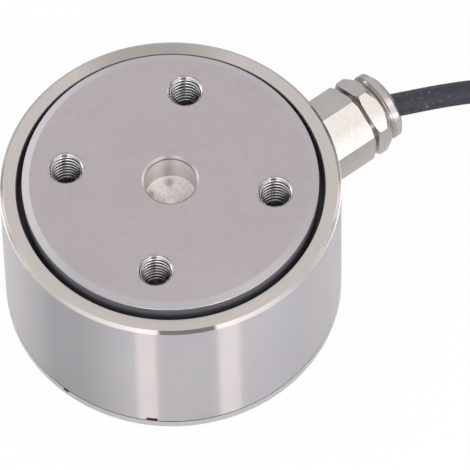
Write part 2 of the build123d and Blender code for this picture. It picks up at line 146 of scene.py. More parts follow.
# Bare leads on top of the coil, in millimetres: start across and above, lane and length
LEADS = {
    "white": ((-1.25, 0.35), -3.8, 36.0),
    "green": ((-0.75, -0.95), -1.9, 39.0),
    "shield": ((0.0, 0.9), 0.0, 33.0),
    "black": ((0.75, -0.95), 1.9, 38.0),
    "red": ((1.25, 0.35), 3.8, 35.0),
}
# Along each lead: distance in millimetres, how far it is in its lane, how far it has come down
LEAD_STEPS = [
    (0.0, 0.0, 0.0),
    (3.2, 0.0, 0.0),
    (9.0, 0.65, 0.55),
    (16.5, 0.95, 1.0),
    (24.0, 1.05, 1.0),
    (30.0, 1.1, 1.0),
]
LEAD_END = (1.15, 1.0)
LEAD_SIDES = 28
STRANDS = 7
STRAND_LAY = 5.0 * MM
BARED = 6.0 * MM

# Lamps: name, turn right of the camera, height and lean in degrees, distance, size, power, colour
LAMPS = (
    ("strip_left", -15.2, 7.0, 2.5, 1.6, (0.28, 0.8), 1.5, (1.0, 0.81, 0.64)),
    ("strip_right", 27.2, 7.0, -5.0, 1.6, (0.31, 0.8), 1.8, (1.0, 0.86, 0.70)),
    ("softbox_gland", 63.0, 50.0, 0.0, 1.7, (0.7, 0.7), 1.7, (1.0, 0.96, 0.94)),
)


# Materials

class Value:
    """A socket that takes part in arithmetic: each operator adds its Math node."""

    def __init__(self, finish, socket):
        self.finish = finish
        self.socket = socket

    def _math(self, operation, *terms):
        return self.finish.add("ShaderNodeMath", {"operation": operation}, dict(enumerate(terms)))

    def __add__(self, other):
        return self._math("ADD", self, other)

    __radd__ = __add__

    def __sub__(self, other):
        return self._math("SUBTRACT", self, other)

    def __rsub__(self, other):
        return self._math("SUBTRACT", other, self)

    def __mul__(self, other):
        return self._math("MULTIPLY", self, other)

    __rmul__ = __mul__

    def __truediv__(self, other):
        return self._math("DIVIDE", self, other)


class Finish:
    """A procedural material: add() puts in one node, and surface() ends the material."""

    def __init__(self, name, kind="materials"):
        self.material = getattr(bpy.data, kind).new(name)
        self.material.use_nodes = True
        self.tree = self.material.node_tree
        self.tree.nodes.clear()

    def add(self, kind, settings=None, inputs=None, output=0):
        """Adds a node of this type, sets its settings, then its sockets, and gives its output."""
        node = self.tree.nodes.new(kind)
        for name, value in (settings or {}).items():
            setattr(node, name, value)
        for name, value in (inputs or {}).items():
            if isinstance(value, Value):
                self.tree.links.new(value.socket, node.inputs[name])
            else:
                node.inputs[name].default_value = value
        return Value(self, node.outputs[output]) if node.outputs else None

    def vector(self, operation, *terms, output=0):
        """A sum on vectors."""
        kind = "ShaderNodeVectorMath"
        return self.add(kind, {"operation": operation}, dict(enumerate(terms)), output)

    def place(self):
        """Where a point is, in the object's own space."""
        return self.add("ShaderNodeTexCoord", output="Object")

    def part(self, vector, axis):
        """One coordinate of a vector."""
        return self.add("ShaderNodeSeparateXYZ", inputs={0: vector}, output=axis)

    def from_axis(self, vector):
        """The distance of a point from the Z axis."""
        return self.vector("LENGTH", self.vector("MULTIPLY", vector, (1, 1, 0)), output="Value")

    def from_hole(self, vector, spread):
        """The distance from the nearest of four upright axes, this far out in X and in Y."""
        folded = self.vector("ABSOLUTE", vector)
        return self.from_axis(self.vector("SUBTRACT", folded, (spread, spread, 0.0)))

    def dot(self, vector, way):
        """How far a vector goes along a fixed direction."""
        return self.vector("DOT_PRODUCT", vector, way, output="Value")

    def angle(self, across, along):
        """The angle whose tangent is one value over another."""
        return self.add("ShaderNodeMath", {"operation": "ARCTAN2"}, {0: across, 1: along})

    def towards(self, place, out, direction, low, high):
        """From 0 to 1 as the cosine of the angle to this direction goes from low to high."""
        angle = radians(direction)
        return self.spread(self.dot(place, (cos(angle), sin(angle), 0.0)) / out, low, high)

    def noise(self, scale, vector=None, detail=2.0, roughness=0.5, along=None):
        """Noise from 0 to 1 in space, or along one value only."""
        inputs = {"Scale": scale, "Detail": detail, "Roughness": roughness}
        if along is None:
            inputs["Vector"] = self.place() if vector is None else vector
            return self.add("ShaderNodeTexNoise", inputs=inputs)
        inputs["W"] = along
        return self.add("ShaderNodeTexNoise", {"noise_dimensions": "1D"}, inputs)

    def bands(self, axis, scale, vector, distortion):
        """Even bands across an axis, from 0 to 1 and back."""
        settings = {"wave_type": "BANDS", "bands_direction": axis}
        inputs = {"Vector": vector, "Scale": scale, "Distortion": distortion, "Detail": 2.0}
        return self.add("ShaderNodeTexWave", settings, inputs)

    def spread(self, value, low, high, to_low=0.0, to_high=1.0):
        """A value taken from one range to another, and kept inside it."""
        ends = {"From Min": low, "From Max": high, "To Min": to_low, "To Max": to_high}
        return self.add("ShaderNodeMapRange", inputs={"Value": value, **ends})

    def between(self, value, low, high, soft):
        """1 between two limits and 0 outside, with soft edges of this half width."""
        rise = self.spread(value, low - soft, low + soft)
        return rise * self.spread(value, high - soft, high + soft, 1.0, 0.0)

    def blend(self, share, first, second):
        """A colour between two, by a share from 0 to 1."""
        first, second = (c if isinstance(c, Value) else (*c, 1.0) for c in (first, second))
        inputs = {0: share, 6: first, 7: second}
        return self.add("ShaderNodeMix", {"data_type": "RGBA"}, inputs, output=2)

    def bump(self, height, strength, distance):
        """A normal that a height tilts, in metres of height."""
        sockets = {"Height": height, "Strength": strength, "Distance": distance}
        return self.add("ShaderNodeBump", inputs=sockets)

    def shader(self, **sockets):
        """A shader whose sockets are named with underscores."""
        inputs = {name.replace("_", " "): value for name, value in sockets.items()}
        return self.add("ShaderNodeBsdfPrincipled", inputs=inputs)

    def end(self, shader, output="ShaderNodeOutputMaterial"):
        """Ends the material, or the world, in this shader."""
        self.add(output, inputs={"Surface": shader})
        return self.material

    def surface(self, **sockets):
        """Ends the material in one such shader."""
        return self.end(self.shader(**sockets))


def tinted(colour, factor):
    """A colour made darker or lighter, and kept in range."""
    return tuple(min(1.0, part * factor) for part in colour)


def lilac_of(colour, factor):
    """A steel colour made lighter and a little bluer."""
    red, green, blue = tinted(colour, factor)
    return (red, green * 1.05, blue * 1.07)


def lathe_work(finish, roughness):
    """What all turned steel has in common.

    Gives a point's place, its distance from the axis and its height, the fine lines that a tool
    leaves along both, the stains, and a roughness that changes a little with them.
    """
    place = finish.place()
    out = finish.from_axis(place)
    up = finish.part(place, "Z")
    lines = finish.noise(2600.0, along=out + up, detail=3.0, roughness=0.7)
    stains = finish.noise(55.0, vector=place, detail=4.0, roughness=0.6)
    mixed = lines * 0.5 + stains * 0.5
    rough = finish.spread(mixed, *WIDE, roughness - 0.02, roughness + 0.03)
    return place, out, up, lines, stains, rough


def with_dirt_and_painted_shade(finish, steel, place, out, up):
    """Steel with dirt in the fine groove between base and housing, and painted shade in the nicks.
    """
    line = finish.between(up, SEAM_HEIGHT - SEAM_GROOVE, SEAM_HEIGHT + SEAM_GROOVE, 0.02 * MM)
    dirt_and_shade = line * finish.spread(out, HOUSING_RADIUS, HOUSING_RADIUS - 0.03 * MM)
    turn = finish.angle(finish.part(place, "Y"), finish.part(place, "X"))
    # Each nick is a dark spot of painted shade
    for middle, half_width, low, high in NICKS:
        first, last = radians(middle - half_width), radians(middle + half_width)
        across = finish.between(turn, first, last, 0.003)
        dirt_and_shade = across * finish.between(up, low * MM, high * MM, 0.1 * MM) + dirt_and_shade
    return finish.blend(finish.spread(dirt_and_shade, 0.0, 1.0), steel, DIRT_AND_SHADE)


def grooved(finish, share, tilt, normal, **skin):
    """Steel whose grooves are too fine to see: this share of it is their flanks, tilted upwards.

    The flanks' normal is the face's own with the tangent of the tilt added along Z, made one long.
    """
    up = finish.vector("NORMALIZE", finish.vector("ADD", normal, (0.0, 0.0, tan(tilt))))
    face, flank = (
        finish.shader(Normal=way, Metallic=1.0, Anisotropic_Rotation=0.25, **skin)
        for way in (normal, up)
    )
    return finish.end(finish.add("ShaderNodeMixShader", inputs={0: share, 1: face, 2: flank}))


def faced_steel(name, colour, top, roughness):
    """Steel faced on a lathe, up to this height: faint rings and stains, and a few finer parts.

    The sloping edge is bluer and lighter, with a painted highlight that is strongest on the left,
    the base's rim is paler, the cones of the tapped holes are darkened as painted shade, and the
    drilled centre hole is bright, with a speckled, stained floor and a dark ring below its mouth.
    """
    finish = Finish(name)
    place, out, up, lines, stains, rough = lathe_work(finish, roughness)
    grain = finish.noise(2300.0, vector=place, detail=2.0, roughness=0.6)
    mottles = finish.noise(700.0, vector=place, detail=3.0, roughness=0.6)
    tone = finish.spread(lines * 0.3 + stains * 0.4 + mottles * 0.3, 0.38, 0.62)
    steel = finish.blend(tone, tinted(colour, 0.95), tinted(colour, 1.05))
    slope = finish.spread(out, SLOPE_START, SLOPE_START + 0.05 * MM)
    # Painted highlight: the sloping edge is made lighter towards the left
    painted_left_highlight = finish.towards(place, out, LEFT, 0.5, 0.95)
    lilac = finish.blend(painted_left_highlight, lilac_of(colour, 1.04), lilac_of(colour, 1.3))
    steel = finish.blend(slope, steel, lilac)
    # Painted shade: the cones of the tapped holes are made darker
    cone = finish.from_hole(place, HOLE_SPREAD)
    cone = finish.spread(cone, CONE_RADIUS, CONE_RADIUS - 0.15 * MM)
    steel = finish.blend(cone, steel, tinted(colour, 0.72))
    steel = finish.blend(finish.spread(up, 2 * SEAM_HEIGHT, SEAM_HEIGHT), steel, BASE_RIM)
    inside = finish.spread(out, BORE_RADIUS, BORE_RADIUS - 0.1 * MM)
    bottom = top - BORE_DEPTH
    floor = finish.spread(up, bottom, bottom - 0.3 * MM) * inside
    speckle = finish.spread(grain, 0.38, 0.62) * (0.25 + floor * 0.75)
    speckled = finish.blend(speckle, tinted(BORE_STEEL, 0.88), tinted(BORE_STEEL, 1.08))
    bore = finish.blend(floor, tinted(BORE_STEEL, 1.18), speckled)
    for across, along, radius, depth in BORE_STAINS:
        middle = (across * MM, along * MM, bottom - 0.05 * MM)
        far = finish.vector("DISTANCE", place, middle, output="Value")
        stain = finish.spread(far, radius * MM, radius * 0.3 * MM) * depth
        bore = finish.blend(stain, bore, STAIN)
    # A dark ring on the bore's wall just below its mouth
    mouth = finish.between(out, BORE_RADIUS - 0.12 * MM, BORE_RADIUS + 0.02 * MM, 0.03 * MM)
    mouth = mouth * finish.spread(up, top - 1.0 * MM, top - 0.6 * MM)
    bore = finish.blend(mouth, bore, DIRT_AND_SHADE)
    steel = finish.blend(inside, steel, bore)
    height = lines * 0.1 + grain * (inside * 0.1 + floor * 0.3)
    return grooved(
        finish, inside * 0.6, BORE_TILT, finish.bump(height, 1.0, 0.08 * MM),
        Base_Color=with_dirt_and_painted_shade(finish, steel, place, out, up),
        Roughness=rough,
        Anisotropic=0.4,
    )


def sleeve_steel(name, colour, roughness, share):
    """Steel turned along its length.

    Fine grooves run round its wall, and this share of the wall is their upper flanks, which look
    up by the tilt and mirror what stands round the part. At both sides painted light makes the wall
    lighter and painted shade the chamfer darker, and painted shade makes the top darker at the
    back.
    """
    finish = Finish(name)
    place, out, up, lines, stains, rough = lathe_work(finish, roughness)
    wall = finish.spread(out, HOUSING_RADIUS - 0.12 * MM, HOUSING_RADIUS - 0.03 * MM)
    tone = finish.spread(lines * 0.4 + stains * 0.6, *MIDDLE)
    clouds = finish.spread(finish.noise(110.0, vector=place, detail=3.0), *MIDDLE)
    bluer = tinted(colour, 0.94)[:2] + (colour[2],)
    steel = finish.blend(wall, HOUSING_TOP, finish.blend(clouds, colour, bluer))
    steel = finish.blend(tone * 0.12, steel, WHITE)
    edge = finish.spread(up - out, CHAMFER_LINE - 0.05 * MM, CHAMFER_LINE) * (1 - wall)
    start = HOUSING_RADIUS - CHAMFER_WIDTH
    edge = edge * finish.spread(out, start - 0.06 * MM, start)
    # Painted shade: the top is darker at the back
    far = finish.towards(place, out, BACK, 0.87, 0.99) * (1 - wall) * (1 - edge)
    steel = finish.blend(far, steel, tinted(HOUSING_TOP, 0.74))
    # At both sides painted shade darkens the chamfer and painted light brightens the wall
    for side in SIDES:
        ends = edge * finish.towards(place, out, side, 0.93, 0.985)
        steel = finish.blend(ends, steel, tinted(HOUSING_TOP, 0.26))
        ends = wall * finish.towards(place, out, side, 0.8, 1.0)
        steel = finish.blend(ends, steel, tinted(colour, 1.24))
    return grooved(
        finish, wall * share, GROOVE_TILT, finish.bump(lines, 1.0, 0.012 * MM),
        Base_Color=with_dirt_and_painted_shade(finish, steel, place, out, up),
        Roughness=rough * (1 - edge * 0.5),
        Anisotropic=1.0,
    )


def bright_edge(name, colour, roughness):
    """A thin bright edge of turned steel with fine tool lines round it."""
    finish = Finish(name)
    place = finish.place()
    lines = finish.noise(6000.0, along=finish.from_axis(place) + finish.part(place, "Z"))
    dulled = finish.spread(finish.noise(300.0, vector=place, detail=3.0), 0.4, 0.7)
    return finish.surface(
        Base_Color=finish.blend(dulled, colour, tinted(colour, 0.85)),
        Metallic=1.0,
        Roughness=finish.spread(dulled, 0.0, 1.0, roughness, roughness + 0.1),
        Normal=finish.bump(lines, 1.0, 0.004 * MM),
    )


def cut_steel(name, colour, spread, core, roughness):
    """Steel in a tapped hole: bright crests, small tears and stains, and roots in painted shade.

    Painted shade makes it darker from the shade's height down, and the roots stay bright in the
    mouth's cone.
    """
    finish = Finish(name)
    place = finish.place()
    tears = finish.noise(2600.0, vector=place, detail=3.0, roughness=0.65)
    stains = finish.noise(420.0, vector=place, detail=3.0)
    tone = finish.spread(tears * 0.5 + stains * 0.5, *MIDDLE)
    steel = finish.blend(tone, tinted(colour, 0.88), colour)
    up = finish.part(place, "Z")
    # Painted shade: darker from the shade's height down
    shade = finish.between(up, SHADE_HEIGHT - 11.0 * MM, SHADE_HEIGHT - 1.2 * MM, 1.2 * MM)
    out = finish.from_hole(place, spread)
    # Painted shade: the roots of the thread are made nearly black
    roots = finish.spread(out, core + 0.12 * MM, core + 0.22 * MM) * 0.98
    roots = roots * finish.between(up, 1.0 * MM, SHADE_HEIGHT + 3.1 * MM, 0.2 * MM)
    steel = finish.blend(roots, steel, tinted(colour, 0.01))
    return finish.surface(
        Base_Color=finish.blend(shade, steel, tinted(colour, 0.45)),
        Metallic=1.0,
        Roughness=finish.spread(stains, *WIDE, roughness - 0.03, roughness + 0.04),
        Normal=finish.bump(tears, 0.3, 0.002 * MM),
    )


def milled_metal(name, colour, roughness):
    """Milled brass, plated or bare: fine cutter lines across the gland's axis, and soft stains.

    Painted light makes it lighter underneath, on the side that is turned away from the light.
    """
    finish = Finish(name)
    place = finish.place()
    lines = finish.bands("X", 748.0, place, 0.6)
    cuts = finish.spread(lines, 0.6, 0.95)
    stains = finish.noise(180.0, vector=place, detail=4.0, roughness=0.6)
    grain = finish.spread(finish.noise(1500.0, vector=place, detail=2.0), *MIDDLE)
    tone = finish.spread(stains, *MIDDLE)
    # Painted light: lighter towards the under side
    painted_underlight = finish.dot(place, (0.0, -cos(UNDER_TILT), -sin(UNDER_TILT)))
    painted_underlight = finish.spread(painted_underlight + GLAND_HEIGHT * sin(UNDER_TILT), 0.0, 7.0 * MM)
    metal = finish.blend(painted_underlight, tinted(colour, 0.85), tinted(colour, 1.6))
    metal = finish.blend(tone * 0.1, metal, WHITE)
    return finish.surface(
        Base_Color=finish.blend(cuts * grain * 0.4, metal, tinted(colour, 0.5)),
        Metallic=1.0,
        Roughness=finish.spread(stains, *WIDE, roughness - 0.05, roughness + 0.06),
        Normal=finish.bump(lines, 0.5, 0.01 * MM),
    )


def rubber(name, colour, roughness, dust=0.0, painted_light_within=None):
    """Rubber or cable jacket: a fine grain, a little pale dust, and painted light that makes it
    paler inside this radius.
    """
    finish = Finish(name)
    place = finish.place()
    pores = finish.noise(2400.0, vector=place, detail=3.0, roughness=0.6)
    specks = finish.spread(finish.noise(1500.0, vector=place, detail=4.0, roughness=0.7), 0.58, 0.7)
    patches = finish.spread(finish.noise(60.0, vector=place, detail=3.0), *MIDDLE)
    pale = tuple(part + 0.35 for part in colour)
    dusty = finish.blend(specks * patches * dust, colour, pale)
    if painted_light_within is not None:
        # Painted light: paler towards the axis
        near = finish.spread(finish.from_axis(place), painted_light_within, painted_light_within - 0.9 * MM)
        dusty = finish.blend(near, dusty, tinted(colour, 3.2))
    return finish.surface(
        Base_Color=dusty,
        Roughness=finish.spread(pores, *WIDE, roughness - 0.05, roughness + 0.08),
        Normal=finish.bump(pores, 0.25, 0.02 * MM),
    )


def moulded(name, colour):
    """Plastic, ceramic or lacquer: one colour with faint clouds and a fine grain."""
    finish = Finish(name)
    place = finish.place()
    clouds = finish.noise(260.0, vector=place, detail=3.0)
    grain = finish.noise(3000.0, vector=place, detail=2.0)
    light = tuple(part * 1.08 + 0.01 for part in colour)
    return finish.surface(
        Base_Color=finish.blend(finish.spread(clouds, *MIDDLE), tinted(colour, 0.92), light),
        Roughness=finish.spread(clouds, *WIDE, 0.35, 0.45),
        Normal=finish.bump(grain, 0.15, 0.02 * MM),
    )


def gauge_foil(name, film, foil):
    """Strain gauge: amber film with fine metal lines of the grid in it."""
    finish = Finish(name)
    place = finish.place()
    grid = finish.spread(finish.bands("Z", 600.0, place, 0.0), 0.45, 0.55)
    return finish.surface(
        Base_Color=finish.blend(grid, film, foil), Metallic=grid * 0.8, Roughness=0.35
    )


def board_green(name, colour, copper):
    """Circuit board: green lacquer over copper tracks that run round it."""
    finish = Finish(name)
    place = finish.place()
    rings = finish.noise(900.0, along=finish.from_axis(place), detail=0.0)
    track = finish.spread(rings, 0.56, 0.6)
    weave = finish.noise(2500.0, vector=place, detail=2.0)
    return finish.surface(
        Base_Color=finish.blend(track * 0.5 + weave * 0.1, colour, copper),
        Roughness=0.35,
        Coat_Weight=0.3,
        Normal=finish.bump(track, 0.3, 0.03 * MM),
    )


def twisted_wire(name, colour, roughness):
    """Tinned copper strands: bright metal with fine scratches."""
    finish = Finish(name)
    scratches = finish.noise(1800.0, detail=3.0, roughness=0.7)
    return finish.surface(
        Base_Color=finish.blend(scratches, tinted(colour, 0.8), colour),
        Metallic=1.0,
        Roughness=finish.spread(scratches, *WIDE, roughness - 0.05, roughness + 0.1),
    )


# Shapes

def add_mesh(name, points, faces, finish, smooth=True):
    """Puts arrays of points in metres and of faces into a mesh object with one finish."""
    mesh = bpy.data.meshes.new(name)
    mesh.from_pydata(np.asarray(points).tolist(), [], [list(face) for face in faces])
    mesh.polygons.foreach_set("use_smooth", np.full(len(mesh.polygons), smooth))
    mesh.materials.append(finish)
    mesh.update()
    piece = bpy.data.objects.new(name, mesh)
    bpy.context.scene.collection.objects.link(piece)
    return piece


def weld(piece):
    """Merges points that lie on each other, and turns the faces outwards."""
    gap = 1e-7
    work = bmesh.new()
    work.from_mesh(piece.data)
    bmesh.ops.remove_doubles(work, verts=work.verts, dist=gap)
    bmesh.ops.dissolve_degenerate(work, edges=work.edges, dist=gap)
    bmesh.ops.recalc_face_normals(work, faces=work.faces)
    work.to_mesh(piece.data)
    work.free()
    return piece


def round_axis(radius, turned, height):
    """Points at these distances from the Z axis, angles round it and heights."""
    radius, turned, height = np.broadcast_arrays(radius, turned, height)
    across, along = radius * np.cos(turned), radius * np.sin(turned)
    return np.stack([across, along, height], axis=-1).reshape(-1, 3)


def tapped_hole(centre, depth, sizes, upward, columns=48, rows=8):
    """Points and faces of one internal thread, as a closed sleeve.

    The grid runs round the hole and down it, and follows the helix: a point's depth is its row's
    part of the pitch plus the part of a turn that it has gone round. The radius goes from the root
    to the crest and back over one pitch in straight flanks, fades out at the lower end, and is
    never smaller than the cone of the hole's mouth. Two more rings, behind the hole's wall, close
    the sleeve.
    """
    mouth, major, minor = (
        size / 2 for size in (sizes.hole_mouth, sizes.thread_diameter, sizes.thread_core)
    )
    start, pitch = THREAD_START, sizes.thread_pitch
    turns = int(np.ceil(depth / pitch)) + 2
    column, row = np.meshgrid(np.arange(columns), np.arange(turns * rows + 1), indexing="ij")
    part = row / rows - 1.0
    deep = np.clip((part + column / columns) * pitch, start, depth)
    wave = 1.0 - 2.0 * np.abs(np.mod(part, 1.0) - 0.5)
    root_flat, flank = 0.0625, 0.63
    crest = np.clip((wave - root_flat) / flank, 0.0, 1.0)
    fade = np.clip((depth - deep) / (1.5 * pitch), 0.0, 1.0)
    root = major + 0.02 * MM
    radius = root - (root - minor) * crest * fade
    radius = np.maximum(radius, np.minimum(mouth - deep, root))
    behind = np.full((columns, 1), root + 0.1 * MM)
    radius = np.hstack([radius, behind, behind])
    deep = np.hstack([deep, np.full((columns, 1), depth), np.full((columns, 1), start)])
    turned = 2 * pi * np.arange(columns)[:, None] / columns
    side = 1.0 if upward else -1.0
    points = np.array(centre) + round_axis(radius, side * turned, -side * deep)
    return points, sleeve_faces(columns, turns * rows + 1, rows)


def sleeve_faces(columns, spiral, rows):
    """Faces of the sleeve: its last column meets the first one a pitch of rows further on."""
    stride = spiral + 2
    here = np.arange(columns - 1)[:, None] * stride
    down = np.arange(spiral - 1)
    inner = np.stack(
        [here + down, here + down + 1, here + stride + down + 1, here + stride + down], axis=-1
    ).reshape(-1, 4)
    far = (columns - 1) * stride
    ahead = np.minimum(down + rows, spiral - 1)
    ahead_next = np.minimum(down + 1 + rows, spiral - 1)
    seam = np.stack([far + down, far + down + 1, ahead_next, ahead], axis=-1)
    first = np.arange(rows)
    start_fill = np.stack([np.full(rows, far), first + 1, first, np.full(rows, far)], axis=-1)
    ring = np.arange(columns)
    after = (ring + 1) % columns
    outer = [
        np.stack([ring * stride + a, ring * stride + b, after * stride + b, after * stride + a], -1)
        for a, b in ((spiral - 1, spiral), (spiral, spiral + 1), (spiral + 1, 0))
    ]
    faces = [list(dict.fromkeys(f)) for f in np.vstack([inner, seam, start_fill, *outer]).tolist()]
    return [f for f in faces if len(f) > 2]


def rounded_rim(sizes, top, columns=240, rows=10):
    """Points and faces of the load plate's rounded outer edge, as a closed ring.

    The section is an arc of a small circle that just covers the sharp corner, from the plate's
    wall over to its sloping edge, and is closed through the circle's middle. It is turned round
    the Z axis in equal steps.
    """
    slope = sizes.edge_drop / sizes.edge_width
    corner = np.array([sizes.plate_diameter / 2, top - sizes.edge_drop])
    inward, down = 0.80, 1.13 - slope
    middle = corner - sizes.edge_round * np.array([inward, down])
    arc = np.radians(np.linspace(-25.0, 100.0, rows))
    curve = sizes.edge_round * np.stack([np.cos(arc), np.sin(arc)], axis=1)
    section = np.vstack([middle, middle + curve])
    turned = 2 * pi * np.arange(columns)[:, None] / columns
    points = round_axis(section[:, 0], turned, section[:, 1])
    count = rows + 1
    here = (np.arange(columns) * count)[:, None]
    after = (np.roll(np.arange(columns), -1) * count)[:, None]
    step = np.arange(count)
    onward = (step + 1) % count
    faces = np.stack([here + step, after + step, after + onward, here + onward], axis=-1)
    return points, faces.reshape(-1, 4).tolist()


def smooth_curve(name, points, resolution):
    """A curve with one open smooth line through space, which these control points give."""
    curve = bpy.data.curves.new(name, "CURVE")
    curve.dimensions = "3D"
    curve.resolution_u = resolution
    spline = curve.splines.new("NURBS")
    spline.points.add(len(points) - 1)
    weighted = np.hstack([points, np.ones((len(points), 1))])
    spline.points.foreach_set("co", weighted.ravel())
    spline.order_u = 3
    spline.use_endpoint_u = True
    return curve


def smooth_line(name, points):
    """The points along the smooth line that a route's control points give."""
    curve = smooth_curve(name, points, 12)
    guide = bpy.data.objects.new(name, curve)
    bpy.context.scene.collection.objects.link(guide)
    mesh = bpy.data.meshes.new_from_object(guide)
    line = np.empty(len(mesh.vertices) * 3)
    mesh.vertices.foreach_get("co", line)
    bpy.data.objects.remove(guide)
    bpy.data.meshes.remove(mesh)
    bpy.data.curves.remove(curve)
    return line.reshape(-1, 3)


def along_line(line):
    """Distance along a line of points, its direction, and two untwisted directions across it."""
    steps = np.diff(line, axis=0)
    lengths = np.linalg.norm(steps, axis=1)
    far = np.concatenate([[0.0], np.cumsum(lengths)])
    ways = np.gradient(line, far, axis=0)
    ways /= np.linalg.norm(ways, axis=1, keepdims=True)
    up = np.array([0.0, 0.0, 1.0])
    side = np.cross(ways, up)
    side /= np.linalg.norm(side, axis=1, keepdims=True)
    return far, ways, side, np.cross(side, ways)


def tube(line, radius, lobes, count, lay, columns):
    """Points and faces of a tube round a line.

    Its radius is given at each point of the line. Lobes, as a share of the radius, twist round it
    as strands do: the radius is larger or smaller by the cosine of the strand count times the
    angle less the turns that the distance along the line gives. Both ends are closed by a fan.
    """
    far, ways, side, over = along_line(line)
    turned = 2 * pi * np.arange(columns) / columns
    twist = count * (turned - 2 * pi * far[:, None] * lay)
    spread = radius[:, None] * (1 + lobes[:, None] * np.cos(twist))
    points = (
        line[:, None]
        + spread[..., None] * np.cos(turned)[:, None] * side[:, None]
        + spread[..., None] * np.sin(turned)[:, None] * over[:, None]
    ).reshape(-1, 3)
    rings = len(line)
    ring = np.arange(rings - 1)[:, None] * columns
    step = np.arange(columns)
    after = (step + 1) % columns
    walls = np.stack(
        [ring + step, ring + after, ring + columns + after, ring + columns + step], axis=-1
    ).reshape(-1, 4).tolist()
    first, last = len(points), len(points) + 1
    points = np.vstack([points, line[0], line[-1]])
    ends = [[first, (k + 1) % columns, k] for k in range(columns)]
    base = (rings - 1) * columns
    ends += [[last, base + k, base + (k + 1) % columns] for k in range(columns)]
    return points, walls + ends


# The coil's route

def coil_frame():
    """The coil's middle in millimetres, and the angle of its first turn's start seen from there."""
    before, last = (np.array(point) for point in CABLE_ROUTE[-2:])
    way = (last - before) / np.linalg.norm(last - before)
    touch = last + way * COIL_LEAD_IN
    left = np.array([-way[1], way[0], 0.0])
    middle = touch + left * OUTER_TURN
    return middle, degrees(atan2(-left[1], -left[0]))


def coil_point(turned, radius, height):
    """A point of the coil: this far round its turns, from its middle and above the floor."""
    middle, start = coil_frame()
    angle = radians(start + turned)
    return (middle[0] + radius * cos(angle), middle[1] + radius * sin(angle), height)


def wind_coil(cable_radius):
    """The coil's control points: four turns a layer, in, out and in again, and the tail on top.

    Each layer's turns keep their distance from the middle for most of a turn and move over by one
    cable in the rest of it. The cable climbs to the next layer before it would meet itself.
    """
    # Each change starts at an angle and takes a span: the distance out, then the height
    changes = []
    end = 360.0
    radius, height, way = OUTER_TURN, cable_radius, -1.0
    for _ in range(COIL_LAYERS):
        for turn in range(LAYER_TURNS - 1):
            radius += way * TURN_PITCH
            changes.append((end + 360.0 * turn - COIL_MOVE, COIL_MOVE, radius, height))
        height += TURN_PITCH
        climb = end + 360.0 * (LAYER_TURNS - 1) - 2 * COIL_MOVE
        changes.append((climb, COIL_MOVE, radius, height))
        end = climb + 360.0
        way = -way
    changes.append((climb + COIL_MOVE, TAIL_MOVE, TURN_MIDDLE, height))
    last = climb + COIL_MOVE + TAIL_MOVE + TAIL_TO - TAIL_FROM
    turned = np.arange(0.0, last + 0.1, COIL_STEP)
    keys, radii, heights = [0.0], [OUTER_TURN], [cable_radius]
    for start, span, radius, height in changes:
        keys += [start, start + span]
        radii += [radii[-1], radius]
        heights += [heights[-1], height]
    out = np.interp(turned, keys, radii)
    up = np.interp(turned, keys, heights)
    return [coil_point(*values) for values in zip(turned, out, up)]


# Sizes and colours

def colour_property(name, description, default):
    """A colour that the panel shows as a swatch."""
    return FloatVectorProperty(
        name=name, description=description, subtype="COLOR", min=0.0, max=1.0, default=default
    )


def length_property(name, description, millimetres):
    """A length, given in millimetres and kept in metres."""
    return FloatProperty(
        name=name, description=description, default=millimetres * MM, unit="LENGTH", precision=5
    )


def angle_property(name, description, angle):
    """An angle, given and kept in radians."""
    return FloatProperty(name=name, description=description, default=angle, subtype="ANGLE")


class LoadCellSizes(bpy.types.PropertyGroup):
    """Sizes of the pieces that are added to the solids"""

    cable_diameter: length_property("Cable diameter", "Outer diameter of the cable's jacket", 4.3)
    cable_length: length_property(
        "Cable length", "Length of the free cable from the gland to its leads", 1920.0
    )
    lead_diameter: length_property("Lead diameter", "Outer diameter of one insulated lead", 1.1)
    thread_diameter: length_property(
        "Thread diameter", "Outer diameter of the thread in the tapped holes", 6.0
    )
    thread_core: length_property("Thread core", "Diameter inside the thread's crests", 4.95)
    thread_pitch: length_property(
        "Thread pitch", "Distance from one crest of the thread to the next", 1.0
    )
    hole_circle: length_property("Hole circle", "Diameter of the circle of the tapped holes", 37.0)
    hole_mouth: length_property(
        "Hole mouth", "Diameter of the cone at the mouth of each tapped hole", 6.4
    )
    plate_diameter: length_property("Plate diameter", "Outer diameter of the load plate", 52.1)
    edge_width: length_property("Edge width", "Width of the load plate's sloping edge", 1.3)
    edge_drop: length_property("Edge drop", "How far the load plate's sloping edge goes down", 0.45)
    edge_round: length_property(
        "Edge round", "Radius of the rounded corner of the load plate", 0.22
    )
    hole_count: IntProperty(
        name="Holes", description="Number of tapped holes on their circle", default=4, min=1
    )


class LoadCellColours(bpy.types.PropertyGroup):
    """Colours of the finishes"""

    steel: colour_property(
        "Plate steel", "Steel of the load plate and the base", (0.520, 0.472, 0.471)
    )
    sleeve: colour_property("Housing steel", "Steel of the turned housing", (0.592, 0.568, 0.575))
    nickel: colour_property("Nickel", "Nickel plating of the cable gland", (0.565, 0.535, 0.505))
    rubber: colour_property("Rubber", "Seals and the gland's insert", (0.038, 0.038, 0.044))
    jacket: colour_property(
        "Cable jacket", "Outer jacket of the signal cable", (0.024, 0.028, 0.040)
    )
    board: colour_property("Terminal board", "Lacquer of the terminal board", (0.02, 0.17, 0.07))


